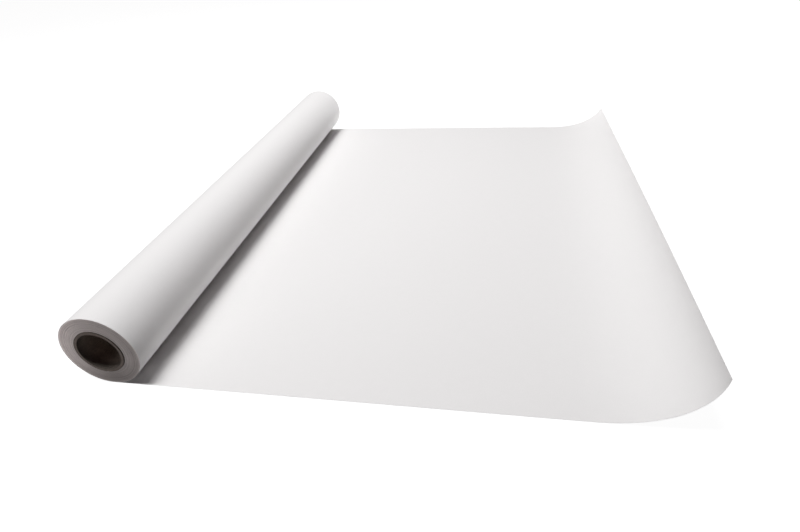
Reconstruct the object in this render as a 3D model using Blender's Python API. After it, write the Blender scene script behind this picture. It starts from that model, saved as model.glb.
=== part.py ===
"""A roll of seamless studio backdrop paper, partly unrolled on a flat surface.

Metres, +Z up. The roll's axis lies along Y and its underside touches z = 0. The paper leaves the
roll's underside towards +X, lies flat, and turns up in a curl that tightens to its free end. The
origin is the centre of the whole object's footprint, on the surface it lies on.

The paper is one continuous piece. It is modelled as groups of wound turns and a row of strips,
so that it can roll up and its curl can open and close.
"""

import math

import bmesh
import bpy

# Driving dimensions.
PAPER_WIDTH = 1.350
ROLL_RADIUS = 0.0740
PAPER_THICKNESS = 0.00025
BORE_RADIUS = 0.0400
CORE_LENGTH = 1.353
CORE_RADIUS = 0.0456
FACING_PLY_THICKNESS = 0.0006
PLY_PITCH = 0.200
PLY_SEAM = 0.0006
GAP = 0.00025
STRIP_GAP = 0.0003

# Inner end of the paper, held to the core by a strip of tape.
TAPE_LENGTH = 1.300
TAPE_THICKNESS = 0.00015
TAPE_START = math.radians(20)
TAPE_SWEEP = math.radians(25)
WOUND_INNER_RADIUS = 0.0462
WOUND_GROUPS = ("paper_inner_turns", "paper_middle_turns", "paper_outer_turns")

# The free sheet: lengths along the paper, from the line where it leaves the roll.
SHEET_LENGTH = 1.053
NIP_START = 0.009
NIP_END = 0.059
CURL_START = 0.821
CURL_SKEW = math.radians(1.95)
FIRST_HINGE = 0.036
HINGE_SPACING = 0.032
HINGE_COUNT = 6

# The curl's curvature, in 1/m, gained in each metre past its root line.
CURL_GROWTH = 46.9
SERIES_TERMS = 8

# How finely round shapes are divided.
PAPER_SIDES = 72
CORE_SIDES = 36
STRIP_STEPS = 4
FREE_EDGE_STEPS = 10

BOTTOM = math.radians(-90)

# Colour (linear RGB), roughness and metallic value of each material.
WHITE_PAPER = ((0.80, 0.80, 0.79), 0.85, 0.0)
KRAFT_LINER = ((0.17, 0.125, 0.09), 0.90, 0.0)
GREY_BOARD = ((0.19, 0.15, 0.12), 0.92, 0.0)
CLEAR_TAPE = ((0.62, 0.58, 0.47), 0.35, 0.0)


def new_material(name, look):
    """A Principled material of one colour, roughness and metallic value."""
    colour, roughness, metallic = look
    material = bpy.data.materials.new(name)
    material.use_nodes = True
    shader = material.node_tree.nodes["Principled BSDF"]
    shader.inputs["Base Color"].default_value = (*colour, 1.0)
    shader.inputs["Roughness"].default_value = roughness
    shader.inputs["Metallic"].default_value = metallic
    return material


def clear_scene():
    for obj in list(bpy.data.objects):
        bpy.data.objects.remove(obj, do_unlink=True)


def curl_frame(along, across):
    """Distances of a point of the flat sheet past the curl's root line and along that line."""
    ahead = along - CURL_START
    past = ahead * math.cos(CURL_SKEW) - across * math.sin(CURL_SKEW)
    beside = ahead * math.sin(CURL_SKEW) + across * math.cos(CURL_SKEW)
    return past, beside


def along_at(past, across):
    """Length along the paper at which it is this far past the curl's root line."""
    return CURL_START + (past + across * math.sin(CURL_SKEW)) / math.cos(CURL_SKEW)


def curl_profile(past):
    """Reach, height and slope of the sheet's underside this far past the root line."""
    past = max(past, 0.0)
    slope = CURL_GROWTH * past**2 / 2
    reach, height = 0.0, 0.0
    for n in range(SERIES_TERMS):
        sign = (-1) ** n
        reach += sign * past * slope ** (2 * n) / ((4 * n + 1) * math.factorial(2 * n))
        height += sign * past * slope ** (2 * n + 1) / ((4 * n + 3) * math.factorial(2 * n + 1))
    return reach, height, slope


def sheet_point(along, across, lift):
    """Where a point of the flat sheet lies, lift above the sheet's underside."""
    past, beside = curl_frame(along, across)
    reach, height, slope = curl_profile(past)
    reach += min(past, 0.0) - lift * math.sin(slope)
    x = CURL_START + reach * math.cos(CURL_SKEW) + beside * math.sin(CURL_SKEW)
    y = beside * math.cos(CURL_SKEW) - reach * math.sin(CURL_SKEW)
    return x, y, height + lift * math.cos(slope)


def roll_axis_x():
    """The roll axis's x, which puts the middle of the footprint at x = 0."""
    half = PAPER_WIDTH / 2
    furthest = max(sheet_point(SHEET_LENGTH, across, 0.0)[0] for across in (-half, half))
    return (ROLL_RADIUS - furthest) / 2


def put_in_scene(name, bm, material, location):
    """Turns the bmesh into an object, its faces pointing out and its round faces smooth."""
    bmesh.ops.recalc_face_normals(bm, faces=bm.faces)
    mesh = bpy.data.meshes.new(name)
    bm.to_mesh(mesh)
    bm.free()
    mesh.shade_smooth()
    mesh.set_sharp_from_angle(angle=math.radians(35))
    mesh.materials.append(material)
    obj = bpy.data.objects.new(name, mesh)
    obj.location = location
    bpy.context.scene.collection.objects.link(obj)
    return obj


def add_slab(name, under, over, material, location):
    """A closed slab between two grids of points, each a list of equally long rows."""
    bm = bmesh.new()
    lower = [[bm.verts.new(point) for point in row] for row in under]
    upper = [[bm.verts.new(point) for point in row] for row in over]
    for i in range(len(lower) - 1):
        for j in range(len(lower[0]) - 1):
            bm.faces.new((lower[i][j], lower[i][j + 1], lower[i + 1][j + 1], lower[i + 1][j]))
            bm.faces.new((upper[i][j], upper[i + 1][j], upper[i + 1][j + 1], upper[i][j + 1]))
    for low, high in zip(outline(lower), outline(upper)):
        bm.faces.new((low[0], low[1], high[1], high[0]))
    return put_in_scene(name, bm, material, location)


def outline(grid):
    """The edges round a grid, as pairs of neighbouring corners."""
    loop = grid[0] + [row[-1] for row in grid[1:-1]] + grid[-1][::-1]
    loop += [row[0] for row in grid[-2:0:-1]]
    return list(zip(loop, loop[1:] + loop[:1]))


def around(radius, angle, y):
    """A point on a cylinder round the Y axis, the angle counted from +X towards +Z."""
    return radius * math.cos(angle), y, radius * math.sin(angle)


def add_tube(name, inner, outer, length, sides, material, location):
    """A plain tube round the Y axis, spun from its rectangular section."""
    bm = bmesh.new()
    corners = ((inner, -length / 2), (outer, -length / 2), (outer, length / 2), (inner, length / 2))
    verts = [bm.verts.new(around(radius, BOTTOM, y)) for radius, y in corners]
    edges = [bm.edges.new((verts[i], verts[(i + 1) % 4])) for i in range(4)]
    bmesh.ops.spin(
        bm, geom=verts + edges, axis=(0, 1, 0), cent=(0, 0, 0),
        angle=math.tau, steps=sides, use_merge=True,
    )
    return put_in_scene(name, bm, material, location)


def add_helical_ply(name, inner, outer, hand, material, location):
    """A strip of board wound edge to edge along the core, and trimmed square at both ends."""
    half = CORE_LENGTH / 2
    rise = PLY_PITCH / CORE_SIDES
    strip = PLY_PITCH - PLY_SEAM
    count = int((CORE_LENGTH + strip) / rise)
    under, over = [], []
    for step in range(1, count):
        low = max(-half, -half - strip + rise * step)
        high = min(half, -half + rise * step)
        angle = BOTTOM + hand * math.tau * step / CORE_SIDES
        under.append([around(inner, angle, low), around(inner, angle, high)])
        over.append([around(outer, angle, low), around(outer, angle, high)])
    return add_slab(name, under, over, material, location)


def add_arc_shell(name, inner, outer, length, start, sweep, steps, material, location):
    """A curved plate round the Y axis."""
    under, over = [], []
    for step in range(steps + 1):
        angle = start + sweep * step / steps
        under.append([around(inner, angle, -length / 2), around(inner, angle, length / 2)])
        over.append([around(outer, angle, -length / 2), around(outer, angle, length / 2)])
    return add_slab(name, under, over, material, location)


def add_sheet_strip(name, start, end, steps, across_steps, material, location):
    """A strip of the free sheet between two lines, each a length along the paper at each place across."""
    under, over = [], []
    for i in range(steps + 1):
        share = i / steps
        low_row, high_row = [], []
        for j in range(across_steps + 1):
            across = PAPER_WIDTH * (j / across_steps - 0.5)
            along = start(across) + (end(across) - start(across)) * share
            low_row.append(sheet_point(along, across, 0.0))
            high_row.append(sheet_point(along, across, PAPER_THICKNESS))
        under.append(low_row)
        over.append(high_row)
    return add_slab(name, under, over, material, location)


def build_core(kraft, board, centre):
    """A spiral-wound paperboard core: two facing plies and the body of plies between them."""
    liner_outer = BORE_RADIUS + FACING_PLY_THICKNESS
    wrap_inner = CORE_RADIUS - FACING_PLY_THICKNESS
    add_helical_ply("core_liner_ply", BORE_RADIUS, liner_outer, 1, kraft, centre)
    add_tube(
        "core_body_plies", liner_outer + GAP, wrap_inner - GAP,
        CORE_LENGTH, CORE_SIDES, board, centre,
    )
    add_helical_ply("core_wrap_ply", wrap_inner, CORE_RADIUS, -1, kraft, centre)


def build_start_tape(material, centre):
    """The strip of tape that holds the paper's inner end to the core."""
    inner = CORE_RADIUS + GAP
    add_arc_shell(
        "start_tape", inner, inner + TAPE_THICKNESS, TAPE_LENGTH,
        TAPE_START, TAPE_SWEEP, 5, material, centre,
    )


def build_wound_paper(material, centre):
    """The wound turns in three groups, and the outermost turn, open along its underside."""
    turn_inner = ROLL_RADIUS - PAPER_THICKNESS
    group = (turn_inner - WOUND_INNER_RADIUS) / len(WOUND_GROUPS)
    for index, name in enumerate(WOUND_GROUPS):
        inner = WOUND_INNER_RADIUS + group * index
        add_tube(name, inner, inner + group - GAP, PAPER_WIDTH, PAPER_SIDES, material, centre)
    opening = STRIP_GAP / ROLL_RADIUS
    add_arc_shell(
        "outer_turn", turn_inner, ROLL_RADIUS, PAPER_WIDTH,
        BOTTOM + opening / 2, math.tau - opening, PAPER_SIDES, material, centre,
    )


def past_line(past):
    """A line across the sheet, parallel to the curl's root line and this far past it."""
    return lambda across: along_at(past, across)


def square_line(along):
    """A line square across the sheet."""
    return lambda across: along


def build_free_sheet(material, foot):
    """The strip at the roll, the flat sheet, and the strips of the curl."""
    add_sheet_strip("sheet_nip", square_line(NIP_START), square_line(NIP_END), 1, 1, material, foot)
    add_sheet_strip(
        "sheet_flat", square_line(NIP_END + STRIP_GAP), past_line(-STRIP_GAP),
        1, 1, material, foot,
    )
    hinges = [FIRST_HINGE + HINGE_SPACING * i for i in range(HINGE_COUNT)]
    starts = [0.0] + hinges
    for index, start in enumerate(starts):
        name = f"sheet_curl_{index + 1}"
        if index < HINGE_COUNT:
            end = past_line(starts[index + 1] - STRIP_GAP)
            add_sheet_strip(name, past_line(start), end, STRIP_STEPS, 1, material, foot)
        else:
            end = square_line(SHEET_LENGTH)
            add_sheet_strip(
                name, past_line(start), end, STRIP_STEPS, FREE_EDGE_STEPS, material, foot,
            )


def main():
    clear_scene()
    paper = new_material("white_paper", WHITE_PAPER)
    kraft = new_material("kraft_liner", KRAFT_LINER)
    board = new_material("grey_board", GREY_BOARD)
    tape = new_material("clear_tape", CLEAR_TAPE)
    axis_x = roll_axis_x()
    centre = (axis_x, 0, ROLL_RADIUS)
    foot = (axis_x, 0, 0)
    build_core(kraft, board, centre)
    build_start_tape(tape, centre)
    build_wound_paper(paper, centre)
    build_free_sheet(paper, foot)


main()
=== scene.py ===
"""The looks of a partly unrolled roll of seamless backdrop paper on its paperboard core."""

import math

import bpy
import numpy as np
from mathutils import Matrix, Vector


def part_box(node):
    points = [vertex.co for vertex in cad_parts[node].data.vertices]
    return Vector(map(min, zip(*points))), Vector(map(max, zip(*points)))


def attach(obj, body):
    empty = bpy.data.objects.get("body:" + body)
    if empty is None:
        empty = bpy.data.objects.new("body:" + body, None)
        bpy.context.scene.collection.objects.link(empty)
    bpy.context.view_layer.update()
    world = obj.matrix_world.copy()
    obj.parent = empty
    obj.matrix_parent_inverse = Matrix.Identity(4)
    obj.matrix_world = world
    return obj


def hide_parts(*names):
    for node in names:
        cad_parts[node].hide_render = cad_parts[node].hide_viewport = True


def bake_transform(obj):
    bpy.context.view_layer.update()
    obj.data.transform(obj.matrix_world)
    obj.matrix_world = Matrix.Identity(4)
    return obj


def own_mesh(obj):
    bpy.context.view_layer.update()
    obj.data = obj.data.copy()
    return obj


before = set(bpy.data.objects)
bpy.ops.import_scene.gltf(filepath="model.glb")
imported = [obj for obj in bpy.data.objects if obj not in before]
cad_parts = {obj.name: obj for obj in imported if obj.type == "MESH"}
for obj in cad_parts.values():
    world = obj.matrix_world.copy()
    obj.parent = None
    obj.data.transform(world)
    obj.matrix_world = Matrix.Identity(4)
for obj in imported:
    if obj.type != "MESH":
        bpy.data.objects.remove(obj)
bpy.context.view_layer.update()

# Lengths are in metres. The roll lies along Y, and its paper is unrolled towards +X.
ROLL_LOW, ROLL_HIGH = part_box("outer_turn")
ROLL_RADIUS = (ROLL_HIGH.z - ROLL_LOW.z) / 2
ROLL_CENTRE = (ROLL_LOW + ROLL_HIGH) / 2
AXIS_X = ROLL_CENTRE.x
HALF_WIDTH = (ROLL_HIGH.y - ROLL_LOW.y) / 2
PAPER_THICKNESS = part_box("sheet_flat")[1].z
OUTER_TURN_THICKNESS = 0.8 * PAPER_THICKNESS
LAYER_GAP = 0.00005
CORE_GAP = 0.0001

# The core: a liner and a wrap, each one strip wound as a helix, with solid plies between them.
CORE_LOW, CORE_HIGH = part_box("core_wrap_ply")
CORE_RADIUS = (CORE_HIGH.z - CORE_LOW.z) / 2
CORE_HALF = (CORE_HIGH.y - CORE_LOW.y) / 2
LINER_LOW, LINER_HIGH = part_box("core_liner_ply")
FACING_PLY = 0.0006
BORE_RADIUS = (LINER_HIGH.z - LINER_LOW.z) / 2 - FACING_PLY
PLY_PITCH = 0.200
PLY_SEAM = 0.0006
# How far into the core its painted shade at the ends gives way to painted light.
BORE_SHADING_DEPTH = 0.035

# How the edges of wound layers stand at the roll's ends: their spacing, how far each stands back
# and leans at random, and the depth of a slow wave that runs outwards over them.
TURN_EDGES = {"pitch": 0.0004, "jitter": 0.00016, "tilt": 0.00006, "wave": 0.00035}
PLY_EDGES = {"pitch": 0.0008, "jitter": 0.00022, "tilt": 0.00008, "wave": 0.0}
WAVE_RATE = 190.0
EDGE_SHARE = 0.12
BORE_INSET = 0.004

# The outermost turn is not quite round: how deep it dips round the roll, and along it.
SWELL_ROUND = 0.00002
SWELL_ALONG = 0.00001

# The free sheet: lengths along the paper from the line where it leaves the roll.
SHEET_START = 0.002
NIP_END = 0.059
FLAT_END = 0.815
CURL_START = 0.821
SHEET_LENGTH = 1.053

# Close to the roll the sheet is thinned, to keep clear of the turn above it.
THINNED_LENGTH = 0.02
ROLL_CLEARANCE = 0.00003
THINNEST = 0.00001

# The flat stretch is faintly uneven, which fades in and out over lengths of the paper.
UNEVENNESS = 0.00012
UNEVEN_FROM, FADE_IN = 0.10, 0.12
UNEVEN_TO, FADE_OUT = 0.81, 0.10

# The curl tightens evenly: its curvature in 1/m is CURL_GROWTH times the metres past its root line,
# which lies askew to the roll. Its hinges follow that line at even spaces.
CURL_GROWTH = 46.9
CURL_SKEW = math.radians(1.95)
FIRST_HINGE = 0.036
HINGE_SPACING = 0.032
HINGE_COUNT = 6
SERIES_TERMS = 8

# How finely the pieces are divided.
ROUND_STEPS = 216
ROLL_STEPS = 72
SHEET_STEPS = 108
NIP_STEPS = 28
FLAT_STEP = 0.012
CURL_STEP = 0.002
HELIX_STEPS = 120
STRIP_ROWS = 5
SHARP_ANGLE = math.radians(35)

# The studio. Each softbox: how far to the right of the roll's axis it hangs, its Y, and its watts.
FLOOR_REACH = 14.0
FLOOR_DROP = 0.0004
FLOOR_SEEN = 0.97
FLOOR_GLOW = 2.2
GLOW_Y = (0.05, 0.35)
GLOW_X = (AXIS_X - 0.05, AXIS_X + 0.15)
SOFTBOX_HEIGHT = 3.6
SOFTBOX_SIZE = 0.5
SOFTBOX_AIM = Vector((AXIS_X + 0.5, 0.0, 0.0))
SOFTBOXES = {
    "key_softbox": (0.0, 0.6, 52.5),
    "key_left": (-0.5, 0.6, 16.2),
    "far_softbox": (0.5, 2.1, 40.3),
    "near_softbox": (-0.5, -0.9, 20.5),
    "near_left_softbox": (-1.0, -0.9, 21.5),
    "left_fill": (-1.8, -0.9, 8.5),
}
END_LAMP_PLACE = Vector((AXIS_X - 0.40, -1.90, 0.18))
END_LAMP_SIZE = 0.3
END_LAMP_POWER = 0.36
END_LAMP_SPREAD = math.radians(50)
AIR_COLOUR = (1.0, 0.35, 0.65, 1.0)
AIR_STRENGTH = 0.015
WHITE = (1.0, 1.0, 1.0, 1.0)

# The camera: its place, and its angles to the left of +Y, below level and about its line of sight.
CAMERA_PLACE = Vector((AXIS_X + 0.6652, -1.2410, 0.6636))
CAMERA_LEFT = math.radians(11.870)
CAMERA_DOWN = math.radians(33.646)
CAMERA_ROLL = math.radians(4.521)
LENS_MM = 23.277
SENSOR_MM = 36.0

rng = np.random.default_rng(7)


# ---------------------------------------------------------------- shader nodes

def new_material(name):
    material = bpy.data.materials.new(name)
    material.use_nodes = True
    nodes = material.node_tree.nodes
    return material, nodes, material.node_tree.links, nodes["Principled BSDF"]


def grey(value):
    return (value, value, value)


def object_coords(nodes):
    return nodes.new("ShaderNodeTexCoord").outputs["Object"]


def parts_of(nodes, links, vector):
    """A vector's X, Y and Z."""
    node = nodes.new("ShaderNodeSeparateXYZ")
    links.new(vector, node.inputs["Vector"])
    return node.outputs


def stretched(nodes, links, coords, scale):
    mapping = nodes.new("ShaderNodeMapping")
    mapping.inputs["Scale"].default_value = scale
    links.new(coords, mapping.inputs["Vector"])
    return mapping.outputs["Vector"]


def noise(nodes, links, coords, scale, detail, roughness=0.5, distortion=0.0):
    texture = nodes.new("ShaderNodeTexNoise")
    texture.inputs["Scale"].default_value = scale
    texture.inputs["Detail"].default_value = detail
    texture.inputs["Roughness"].default_value = roughness
    texture.inputs["Distortion"].default_value = distortion
    links.new(coords, texture.inputs["Vector"])
    return texture.outputs["Fac"]


def noise_1d(nodes, links, value, scale, detail):
    texture = nodes.new("ShaderNodeTexNoise")
    texture.noise_dimensions = "1D"
    texture.inputs["Scale"].default_value = scale
    texture.inputs["Detail"].default_value = detail
    links.new(value, texture.inputs["W"])
    return texture.outputs["Fac"]


def ramp(nodes, links, value, stops):
    """A colour for each value, blended between stops of a value and its colour."""
    node = nodes.new("ShaderNodeValToRGB")
    elements = node.color_ramp.elements
    while len(elements) < len(stops):
        elements.new(0.5)
    for element, (place, colour) in zip(elements, stops):
        element.position = place
        element.color = (*colour, 1.0)
    links.new(value, node.inputs["Fac"])
    return node.outputs["Color"]


def faded_in(nodes, links, value, start, end):
    """Zero below start, one above end."""
    node = nodes.new("ShaderNodeMapRange")
    node.inputs["From Min"].default_value = start
    node.inputs["From Max"].default_value = end
    links.new(value, node.inputs["Value"])
    return node.outputs["Result"]


def tinted(nodes, links, colour, tint):
    """A colour multiplied by another."""
    node = nodes.new("ShaderNodeMix")
    node.data_type = "RGBA"
    node.blend_type = "MULTIPLY"
    node.inputs["Factor"].default_value = 1.0
    links.new(colour, node.inputs["A"])
    links.new(tint, node.inputs["B"])
    return node.outputs["Result"]


def maths(nodes, links, operation, first, second=0.0):
    node = nodes.new("ShaderNodeMath")
    node.operation = operation
    for socket, value in zip(node.inputs, (first, second)):
        if isinstance(value, float):
            socket.default_value = value
        else:
            links.new(value, socket)
    return node.outputs["Value"]


def bumped(nodes, links, height, distance, strength, below=None):
    node = nodes.new("ShaderNodeBump")
    node.inputs["Strength"].default_value = strength
    node.inputs["Distance"].default_value = distance
    links.new(height, node.inputs["Height"])
    if below is not None:
        links.new(below, node.inputs["Normal"])
    return node.outputs["Normal"]


def radius_of(nodes, links, coords):
    """Distance from the roll's axis, for an object whose origin is on it."""
    parts = parts_of(nodes, links, coords)
    x_squared = maths(nodes, links, "MULTIPLY", parts["X"], parts["X"])
    z_squared = maths(nodes, links, "MULTIPLY", parts["Z"], parts["Z"])
    return maths(nodes, links, "SQRT", maths(nodes, links, "ADD", x_squared, z_squared))


# ---------------------------------------------------------------- materials

def paper_material():
    """Uncoated white paper: faint cloudy formation, fine fibre tooth and a soft, matte surface."""
    material, nodes, links, shader = new_material("seamless_paper")
    coords = object_coords(nodes)
    cloud = noise(nodes, links, coords, scale=55.0, detail=4.0, roughness=0.6)
    tint = ramp(nodes, links, cloud, [(0.30, (0.855, 0.848, 0.843)),
                                      (0.70, (0.860, 0.853, 0.848))])
    along_fibres = stretched(nodes, links, coords, (1.0, 0.35, 1.0))
    fibre = noise(nodes, links, along_fibres, scale=1400.0, detail=3.0, roughness=0.6)
    fleck = ramp(nodes, links, fibre, [(0.25, grey(0.97)), (0.60, grey(1.0))])
    links.new(tinted(nodes, links, tint, fleck), shader.inputs["Base Color"])
    rough = ramp(nodes, links, cloud, [(0.3, grey(0.80)), (0.7, grey(0.70))])
    links.new(rough, shader.inputs["Roughness"])
    tooth = bumped(nodes, links, fibre, distance=0.00004, strength=0.5)
    cockle = noise(nodes, links, coords, scale=9.0, detail=2.0, roughness=0.45)
    surface = bumped(nodes, links, cockle, distance=0.0005, strength=0.15, below=tooth)
    links.new(surface, shader.inputs["Normal"])
    shader.inputs["Specular IOR Level"].default_value = 0.32
    shader.inputs["Sheen Weight"].default_value = 0.06
    shader.inputs["Sheen Roughness"].default_value = 0.5
    return material


def paper_edge_material():
    """The cut edges of the wound turns: fine grey lines that drift in tone from turn to turn."""
    material, nodes, links, shader = new_material("wound_paper_edges")
    coords = object_coords(nodes)
    radius = radius_of(nodes, links, coords)
    drift = noise(nodes, links, coords, scale=14.0, detail=2.0)
    turn = maths(nodes, links, "ADD", radius, maths(nodes, links, "MULTIPLY", drift, 0.0022))
    fine = noise_1d(nodes, links, turn, scale=5200.0, detail=1.0)
    broad = noise_1d(nodes, links, turn, scale=520.0, detail=3.0)
    patch = noise(nodes, links, coords, scale=46.0, detail=4.0, roughness=0.6)
    band = ramp(nodes, links, broad, [(0.28, (0.525, 0.483, 0.476)),
                                      (0.50, (0.622, 0.580, 0.571)),
                                      (0.74, (0.706, 0.664, 0.653))])
    line = ramp(nodes, links, fine, [(0.30, grey(0.74)), (0.62, grey(1.0))])
    stain = ramp(nodes, links, patch, [(0.30, (0.94, 0.925, 0.935)),
                                       (0.55, (1.0, 1.0, 0.985)),
                                       (0.78, (1.05, 1.01, 1.025))])
    # Painted highlight: the outermost turns' edges are lighter, where the roll's rim catches the light.
    outwards = maths(nodes, links, "MULTIPLY", radius, 1 / ROLL_RADIUS)
    painted_rim_highlight = ramp(nodes, links, outwards, [(0.955, grey(1.0)), (0.99, grey(1.45))])
    colour = band
    # The last tint is painted light and shade across the ends, darker towards the ground.
    for tint in (line, stain, painted_rim_highlight, painted_side_shading(nodes, links, coords)):
        colour = tinted(nodes, links, colour, tint)
    links.new(colour, shader.inputs["Base Color"])
    shader.inputs["Roughness"].default_value = 0.92
    shader.inputs["Specular IOR Level"].default_value = 0.18
    lined = bumped(nodes, links, fine, distance=0.00008, strength=0.8)
    links.new(lined, shader.inputs["Normal"])
    return material


def painted_side_shading(nodes, links, coords):
    """Painted light and shade on the wound edges: lighter towards -X and darker towards +X, and painted
    shade towards the ground, both in uneven patches.
    """
    parts = parts_of(nodes, links, coords)
    patch = noise(nodes, links, coords, scale=22.0, detail=3.0)
    uneven = maths(nodes, links, "MULTIPLY", patch, 0.24)
    middle = maths(nodes, links, "ADD", uneven, 0.38)
    # Painted light and shade: the edges are lighter towards -X and darker towards +X.
    across = maths(nodes, links, "MULTIPLY", parts["X"], -0.5 / ROLL_RADIUS)
    painted_side_light = ramp(nodes, links, maths(nodes, links, "ADD", across, middle),
                   [(0.0, (0.90, 0.885, 0.88)), (0.45, (1.0, 0.99, 0.985)), (1.0, (1.62, 1.58, 1.57))])
    # Painted shade: the edges are darker towards the ground.
    upwards = maths(nodes, links, "MULTIPLY", parts["Z"], 0.5 / ROLL_RADIUS)
    painted_low_shade = ramp(nodes, links, maths(nodes, links, "ADD", upwards, middle),
                  [(0.06, (0.70, 0.69, 0.69)), (0.42, grey(1.0)), (1.0, (1.06, 1.05, 1.05))])
    return tinted(nodes, links, painted_side_light, painted_low_shade)


def kraft_material():
    """Brown-grey kraft facing: long flattened fibres on a mottled ground, smoother where it is pale."""
    material, nodes, links, shader = new_material("kraft_facing")
    coords = object_coords(nodes)
    along_fibres = stretched(nodes, links, coords, (1.0, 0.25, 1.0))
    fibre = noise(nodes, links, along_fibres, scale=700.0, detail=5.0, roughness=0.65, distortion=0.4)
    mottle = noise(nodes, links, coords, scale=40.0, detail=4.0, roughness=0.6)
    base = ramp(nodes, links, mottle, [(0.30, (0.195, 0.170, 0.149)),
                                       (0.72, (0.280, 0.246, 0.219))])
    streak = ramp(nodes, links, fibre, [(0.32, (0.72, 0.70, 0.68)), (0.62, (1.08, 1.06, 1.04))])
    streaked = tinted(nodes, links, base, streak)
    # The facing's colour carries painted shade at the core's ends and painted light further in.
    links.new(tinted(nodes, links, streaked, painted_bore_shading(nodes, links, coords)),
              shader.inputs["Base Color"])
    rough = ramp(nodes, links, mottle, [(0.3, grey(0.88)), (0.7, grey(0.74))])
    links.new(rough, shader.inputs["Roughness"])
    shader.inputs["Specular IOR Level"].default_value = 0.3
    fibrous = bumped(nodes, links, fibre, distance=0.00012, strength=0.7)
    links.new(fibrous, shader.inputs["Normal"])
    return material


def painted_bore_shading(nodes, links, coords):
    """Painted shade and light: the facing is darker close to the core's ends and lighter further in."""
    from_middle = maths(nodes, links, "ABSOLUTE", parts_of(nodes, links, coords)["Y"])
    depth = maths(nodes, links, "SUBTRACT", CORE_HALF, from_middle)
    share = maths(nodes, links, "MULTIPLY", depth, 1 / BORE_SHADING_DEPTH)
    return ramp(nodes, links, share, [(0.05, grey(0.60)), (0.60, (1.8, 1.77, 1.74))])


def board_material():
    """The end grain of the core's plies: thin dark glue lines between soft brown-grey layers."""
    material, nodes, links, shader = new_material("core_board")
    coords = object_coords(nodes)
    torn = noise(nodes, links, coords, scale=160.0, detail=4.0, roughness=0.65)
    wander = maths(nodes, links, "MULTIPLY", torn, 0.0005)
    layer = maths(nodes, links, "ADD", radius_of(nodes, links, coords), wander)
    ply = noise_1d(nodes, links, layer, scale=1500.0, detail=1.0)
    base = ramp(nodes, links, ply, [(0.30, (0.140, 0.113, 0.100)),
                                    (0.46, (0.215, 0.180, 0.161)),
                                    (0.75, (0.300, 0.258, 0.234))])
    fuzz = ramp(nodes, links, torn, [(0.30, (0.78, 0.77, 0.76)), (0.70, (1.08, 1.07, 1.05))])
    links.new(tinted(nodes, links, base, fuzz), shader.inputs["Base Color"])
    shader.inputs["Roughness"].default_value = 0.95
    shader.inputs["Specular IOR Level"].default_value = 0.15
    fuzzy = bumped(nodes, links, torn, distance=0.0003, strength=0.8)
    links.new(fuzzy, shader.inputs["Normal"])
    return material


def tape_material():
    """Aged tape: pale amber, slightly glossy, with small trapped bubbles."""
    material, nodes, links, shader = new_material("start_tape_film")
    bubbles = noise(nodes, links, object_coords(nodes), scale=420.0, detail=3.0)
    amber = ramp(nodes, links, bubbles, [(0.35, (0.55, 0.49, 0.36)), (0.65, (0.68, 0.63, 0.50))])
    links.new(amber, shader.inputs["Base Color"])
    rough = ramp(nodes, links, bubbles, [(0.3, grey(0.42)), (0.7, grey(0.26))])
    links.new(rough, shader.inputs["Roughness"])
    bubbly = bumped(nodes, links, bubbles, distance=0.00005, strength=0.5)
    links.new(bubbly, shader.inputs["Normal"])
    return material


# ---------------------------------------------------------------- meshes

def piece_from(name, vertices, faces, material, origin):
    mesh = bpy.data.meshes.new(name)
    mesh.from_pydata(vertices, [], faces)
    mesh.validate()
    mesh.shade_smooth()
    mesh.set_sharp_from_angle(angle=SHARP_ANGLE)
    mesh.materials.append(material)
    piece = bpy.data.objects.new(name, mesh)
    piece.location = origin
    bpy.context.scene.collection.objects.link(piece)
    return piece


def round_angles():
    return np.arange(ROUND_STEPS) * math.tau / ROUND_STEPS


def turned(name, radius, depth, material):
    """A closed ring round the roll's axis. Rows run round its section, columns round the axis."""
    angle = round_angles()
    points = np.stack([radius * np.cos(angle), depth, radius * np.sin(angle)], -1)
    index = np.arange(radius.size).reshape(radius.shape)
    below, beside = np.roll(index, -1, 0), np.roll(index, -1, 1)
    both = np.roll(below, -1, 1)
    faces = np.stack([index, below, both, beside], -1).reshape(-1, 4)
    return piece_from(name, points.reshape(-1, 3).tolist(), faces.tolist(), material, ROLL_CENTRE)


def slab(name, under, over, material, origin=(0.0, 0.0, 0.0)):
    """A closed sheet between two grids of points."""
    rows, columns = under.shape[:2]
    low = np.arange(rows * columns).reshape(rows, columns)
    high = low + rows * columns
    faces = quads(low)[:, ::-1].tolist() + quads(high).tolist()
    rim_low, rim_high = rim(low), rim(high)
    for i in range(len(rim_low)):
        j = (i + 1) % len(rim_low)
        faces.append([rim_low[i], rim_low[j], rim_high[j], rim_high[i]])
    points = np.concatenate([under.reshape(-1, 3), over.reshape(-1, 3)])
    return piece_from(name, points.tolist(), faces, material, origin)


def quads(index):
    corners = [index[:-1, :-1], index[1:, :-1], index[1:, 1:], index[:-1, 1:]]
    return np.stack(corners, -1).reshape(-1, 4)


def rim(index):
    """The grid's border, in the order that faces its side walls outwards."""
    return (index[:-1, 0].tolist() + index[-1, :-1].tolist()
            + index[:0:-1, -1].tolist() + index[0, :0:-1].tolist())


# ---------------------------------------------------------------- the wound roll

def end_steps(inner, outer, pitch, jitter, tilt, wave):
    """Rows of one end from the inner to the outer radius, and how far each row stands back."""
    turns = max(2, round((outer - inner) / pitch))
    radii, depths = [], []
    for turn in range(turns):
        low = inner + (outer - inner) * turn / turns
        high = inner + (outer - inner) * (turn + 1) / turns
        back = rng.uniform(0, jitter)
        back = back + rng.uniform(0, tilt) * (1 + np.cos(round_angles() - rng.uniform(0, math.tau)))
        back = back + wave * 0.5 * (1 + math.sin(WAVE_RATE * low))
        edge = (high - low) * EDGE_SHARE
        radii += [np.full(ROUND_STEPS, low + edge), np.full(ROUND_STEPS, high - edge)]
        depths += [back, back]
    return radii, depths


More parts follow.
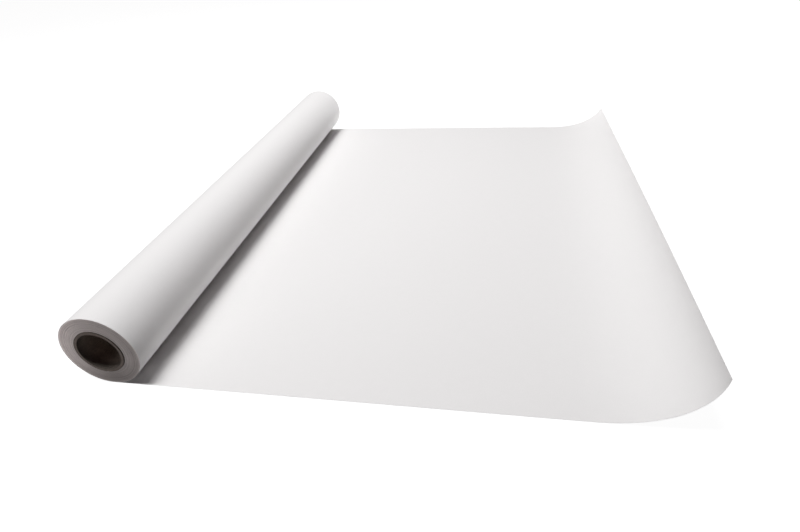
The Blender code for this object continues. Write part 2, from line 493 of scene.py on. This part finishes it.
def wound_ring(name, inner, outer, half, edges, material):
    """A closed ring of wound layers, with the layers' edges stepped at both ends."""
    near_radii, near_back = end_steps(inner, outer, **edges)
    far_radii, far_back = end_steps(inner, outer, **edges)
    side = np.linspace(-half, half, ROLL_STEPS + 1)[1:-1]
    bore = (half - BORE_INSET, -half + BORE_INSET)
    radii = near_radii + [np.full(ROUND_STEPS, outer)] * len(side)
    radii += far_radii[::-1] + [np.full(ROUND_STEPS, inner)] * len(bore)
    depths = [-half + back for back in near_back] + [np.full(ROUND_STEPS, y) for y in side]
    depths += [half - back for back in far_back[::-1]] + [np.full(ROUND_STEPS, y) for y in bore]
    return turned(name, np.array(radii), np.array(depths), material)


def roll_swell(angle, y):
    """How far the outermost turn dips below its full radius, smoothly round and along the roll."""
    wave = np.sin(2 * angle + 3.1 * y + 0.7) + np.sin(3 * angle - 5.3 * y + 2.0)
    bands = np.sin(21.0 * y + 0.4) + 0.6 * np.sin(47.0 * y + 1.9)
    return SWELL_ROUND * (2 + wave) + SWELL_ALONG * (1.6 + bands)


def build_outer_turn(material):
    """The outermost turn: one thickness of paper, lying close on the turns below."""
    stations = np.linspace(-HALF_WIDTH, HALF_WIDTH, ROLL_STEPS + 1)
    outside = [ROLL_RADIUS - roll_swell(round_angles(), y) for y in stations]
    inside = [radius - OUTER_TURN_THICKNESS for radius in outside]
    depths = [np.full(ROUND_STEPS, y) for y in (*stations, *stations[::-1])]
    piece = turned("outer_turn_paper", np.array(outside + inside[::-1]), np.array(depths), material)
    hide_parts("outer_turn")
    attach(piece, "roll")


def build_wound_turns(material):
    inner = CORE_RADIUS + CORE_GAP
    for node in ("paper_inner_turns", "paper_middle_turns", "paper_outer_turns"):
        low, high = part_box(node)
        outer = (high.z - low.z) / 2
        name = node.replace("turns", "layers")
        piece = wound_ring(name, inner, outer, HALF_WIDTH, TURN_EDGES, material)
        inner = outer + LAYER_GAP
        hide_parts(node)
        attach(piece, "roll")


# ---------------------------------------------------------------- the core

def helical_ply(name, inner, outer, hand, material):
    """One strip wound edge to edge as a helix, trimmed square at both ends."""
    rise = PLY_PITCH / HELIX_STEPS
    strip = PLY_PITCH - PLY_SEAM
    count = np.arange(1, int((2 * CORE_HALF + strip) / rise))
    angle = -math.pi / 2 + hand * math.tau * count / HELIX_STEPS
    low = np.maximum(-CORE_HALF, -CORE_HALF - strip + rise * count)
    high = np.minimum(CORE_HALF, -CORE_HALF + rise * count)
    rows = [low + (high - low) * share for share in np.linspace(0, 1, STRIP_ROWS)][::-hand]
    under, over = (np.array([np.stack([radius * np.cos(angle), y, radius * np.sin(angle)], -1)
                             for y in rows]) for radius in (inner, outer))
    return slab(name, under, over, material, ROLL_CENTRE)


def build_core(kraft, board):
    liner_outer = BORE_RADIUS + FACING_PLY
    wrap_inner = CORE_RADIUS - FACING_PLY
    liner = helical_ply("core_liner", BORE_RADIUS, liner_outer, 1, kraft)
    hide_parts("core_liner_ply")
    wrap = helical_ply("core_wrap", wrap_inner, CORE_RADIUS, -1, kraft)
    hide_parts("core_wrap_ply")
    body = wound_ring("core_plies", liner_outer + LAYER_GAP, wrap_inner - LAYER_GAP, CORE_HALF,
                      PLY_EDGES, board)
    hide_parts("core_body_plies")
    for piece, slot in ((liner, "kraft"), (wrap, "kraft"), (body, "board")):
        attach(piece, "roll")


# ---------------------------------------------------------------- the free sheet

def along_at(past, across):
    """Length along the paper at which it is this far past the curl's root line."""
    return CURL_START + (past + across * math.sin(CURL_SKEW)) / math.cos(CURL_SKEW)


def lift_of(along, across):
    """The sheet's slight unevenness where it lies flat, nothing at the roll and in the curl."""
    share = np.clip((along - UNEVEN_FROM) / FADE_IN, 0, 1) * np.clip((UNEVEN_TO - along) / FADE_OUT, 0, 1)
    wave = np.sin(9.0 * along + 4.0 * across) + np.sin(17.0 * across - 6.0 * along + 1.3)
    return UNEVENNESS * share * (2 + wave)


def curl_profile(past):
    """Reach, height and slope of the curl this far past its root line, by the series of a clothoid."""
    past = np.maximum(past, 0)
    slope = CURL_GROWTH * past**2 / 2
    reach, height = 0.0, 0.0
    for n in range(SERIES_TERMS):
        sign = (-1) ** n
        reach = reach + sign * past * slope ** (2 * n) / ((4 * n + 1) * math.factorial(2 * n))
        height = height + sign * past * slope ** (2 * n + 1) / ((4 * n + 3) * math.factorial(2 * n + 1))
    return reach, height, slope


def sheet_points(along, across, lift):
    """Where points of the sheet lie, lift above its underside."""
    ahead = along - CURL_START
    past = ahead * math.cos(CURL_SKEW) - across * math.sin(CURL_SKEW)
    beside = ahead * math.sin(CURL_SKEW) + across * math.cos(CURL_SKEW)
    reach, height, slope = curl_profile(past)
    reach = reach + np.minimum(past, 0) - lift * np.sin(slope)
    x = AXIS_X + CURL_START + reach * math.cos(CURL_SKEW) + beside * math.sin(CURL_SKEW)
    y = beside * math.cos(CURL_SKEW) - reach * math.sin(CURL_SKEW)
    z = height + lift * np.cos(slope) + lift_of(along, across)
    return np.stack([x, y, z], -1)


def full_thickness(along):
    return PAPER_THICKNESS


def thinned(along):
    """The sheet's thickness close to the roll, thin enough to slip under its curved underside."""
    along = np.minimum(along, THINNED_LENGTH)
    room = ROLL_RADIUS - np.sqrt(ROLL_RADIUS**2 - along**2)
    return np.clip(room - ROLL_CLEARANCE, THINNEST, PAPER_THICKNESS)


def sheet_piece(name, start, end, steps, material, thickness=full_thickness):
    """A stretch of the sheet between two lines, each a length along the paper at each place across."""
    across = np.linspace(-HALF_WIDTH, HALF_WIDTH, SHEET_STEPS + 1)
    share = np.linspace(0, 1, steps + 1)[:, None]
    along = start(across) + (end(across) - start(across)) * share
    across = np.broadcast_to(across, along.shape)
    under = sheet_points(along, across, 0.0)
    over = sheet_points(along, across, thickness(along))
    piece = slab(name, under, over, material)
    return piece


def past_line(past):
    """A line across the sheet, parallel to the curl's root line and this far past it."""
    return lambda across: along_at(past, across)


def square_line(along):
    """A line square across the sheet."""
    return lambda across: across * 0.0 + along


def build_sheet(material):
    flat_length = FLAT_END - NIP_END
    nip = sheet_piece("sheet_at_roll", square_line(SHEET_START), square_line(NIP_END), NIP_STEPS,
                      material, thinned)
    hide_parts("sheet_nip")
    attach(nip, "nip")
    flat = sheet_piece("sheet_flat_run", square_line(NIP_END), square_line(FLAT_END),
                       round(flat_length / FLAT_STEP), material)
    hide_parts("sheet_flat")
    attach(flat, "sheet")
    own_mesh(flat)
    build_curl(material)


def build_curl(material):
    """Six pieces, each spanning one hinge of the curl."""
    half = HINGE_SPACING / 2
    for index in range(HINGE_COUNT):
        hinge = FIRST_HINGE + HINGE_SPACING * index
        first, last = index == 0, index == HINGE_COUNT - 1
        start = square_line(FLAT_END) if first else past_line(hinge - half)
        end = square_line(SHEET_LENGTH) if last else past_line(hinge + half)
        length = float(end(0.0) - start(0.0))
        name = f"sheet_curl_piece_{index + 1}"
        piece = sheet_piece(name, start, end, round(length / CURL_STEP), material)
        nodes = [f"sheet_curl_{index + 1}"] + (["sheet_curl_7"] if last else [])
        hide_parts(*nodes)
        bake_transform(piece)


# ---------------------------------------------------------------- stage, light and camera

def build_floor():
    mesh = bpy.data.meshes.new("studio_floor")
    corners = [(-1, -1), (1, -1), (1, 1), (-1, 1)]
    mesh.from_pydata([(FLOOR_REACH * x, FLOOR_REACH * y, 0) for x, y in corners], [], [(0, 1, 2, 3)])
    floor = bpy.data.objects.new("studio_floor", mesh)
    floor.location = (0, 0, -FLOOR_DROP)
    bpy.context.scene.collection.objects.link(floor)
    mesh.materials.append(floor_material())


def floor_material():
    """White and even to look at. Its far right part throws light back up, as a lit white sweep does."""
    material, nodes, links, shader = new_material("studio_floor_white")
    shader.inputs["Base Color"].default_value = (0.20, 0.20, 0.20, 1.0)
    shader.inputs["Roughness"].default_value = 0.9
    shader.inputs["Specular IOR Level"].default_value = 0.1
    shader.inputs["Emission Color"].default_value = WHITE
    parts = parts_of(nodes, links, object_coords(nodes))
    far = faded_in(nodes, links, parts["Y"], *GLOW_Y)
    right = faded_in(nodes, links, parts["X"], *GLOW_X)
    glow = maths(nodes, links, "MULTIPLY", maths(nodes, links, "MULTIPLY", far, right), FLOOR_GLOW)
    path = nodes.new("ShaderNodeLightPath")
    strength = nodes.new("ShaderNodeMix")
    strength.inputs["B"].default_value = FLOOR_SEEN
    links.new(path.outputs["Is Camera Ray"], strength.inputs["Factor"])
    links.new(glow, strength.inputs["A"])
    links.new(strength.outputs["Result"], shader.inputs["Emission Strength"])
    return material


def area_light(name, place, target, size, power):
    light = bpy.data.lights.new(name, "AREA")
    light.shape = "SQUARE"
    light.size = size
    light.energy = power
    lamp = bpy.data.objects.new(name, light)
    lamp.location = place
    lamp.rotation_euler = (target - place).to_track_quat("-Z", "Y").to_euler()
    lamp.visible_camera = False
    bpy.context.scene.collection.objects.link(lamp)
    return light


def build_lights():
    """Softboxes overhead, and a narrow, weak lamp low in front of the roll's near end."""
    for name, (right, y, power) in SOFTBOXES.items():
        place = Vector((AXIS_X + right, y, SOFTBOX_HEIGHT))
        area_light(name, place, SOFTBOX_AIM, SOFTBOX_SIZE, power)
    near_end = ROLL_CENTRE - Vector((0, HALF_WIDTH, 0))
    end_fill = area_light("end_fill", END_LAMP_PLACE, near_end, END_LAMP_SIZE, END_LAMP_POWER)
    end_fill.spread = END_LAMP_SPREAD


def build_air():
    """A white background to look at, which lights the object only faintly."""
    world = bpy.data.worlds.new("studio_air")
    bpy.context.scene.world = world
    world.use_nodes = True
    nodes, links = world.node_tree.nodes, world.node_tree.links
    air = nodes["Background"]
    air.inputs["Color"].default_value = AIR_COLOUR
    air.inputs["Strength"].default_value = AIR_STRENGTH
    seen = nodes.new("ShaderNodeBackground")
    seen.inputs["Color"].default_value = WHITE
    seen.inputs["Strength"].default_value = 1.0
    path = nodes.new("ShaderNodeLightPath")
    blend = nodes.new("ShaderNodeMixShader")
    links.new(path.outputs["Is Camera Ray"], blend.inputs["Fac"])
    links.new(air.outputs["Background"], blend.inputs[1])
    links.new(seen.outputs["Background"], blend.inputs[2])
    links.new(blend.outputs["Shader"], nodes["World Output"].inputs["Surface"])


def build_camera():
    """A wide lens in front of the sheet's near edge, looking down across it and a little to the left."""
    camera_data = bpy.data.cameras.new("camera")
    camera_data.lens = LENS_MM
    camera_data.sensor_width = SENSOR_MM
    camera = bpy.data.objects.new("camera", camera_data)
    level = Vector((math.cos(CAMERA_LEFT), math.sin(CAMERA_LEFT), 0))
    ahead = Vector((-math.sin(CAMERA_LEFT), math.cos(CAMERA_LEFT), 0))
    forward = ahead * math.cos(CAMERA_DOWN) - Vector((0, 0, math.sin(CAMERA_DOWN)))
    right = level * math.cos(CAMERA_ROLL) - level.cross(forward) * math.sin(CAMERA_ROLL)
    axes = Matrix((right, right.cross(forward), -forward)).transposed().to_4x4()
    camera.matrix_world = Matrix.Translation(CAMERA_PLACE) @ axes
    bpy.context.scene.collection.objects.link(camera)
    bpy.context.scene.camera = camera


def main():
    bpy.context.scene.view_settings.view_transform = "Standard"
    paper = paper_material()
    build_outer_turn(paper)
    build_wound_turns(paper_edge_material())
    build_core(kraft_material(), board_material())
    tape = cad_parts["start_tape"]
    tape.data.materials.clear()
    tape.data.materials.append(tape_material())
    build_sheet(paper)
    build_floor()
    build_lights()
    build_air()
    build_camera()


main()
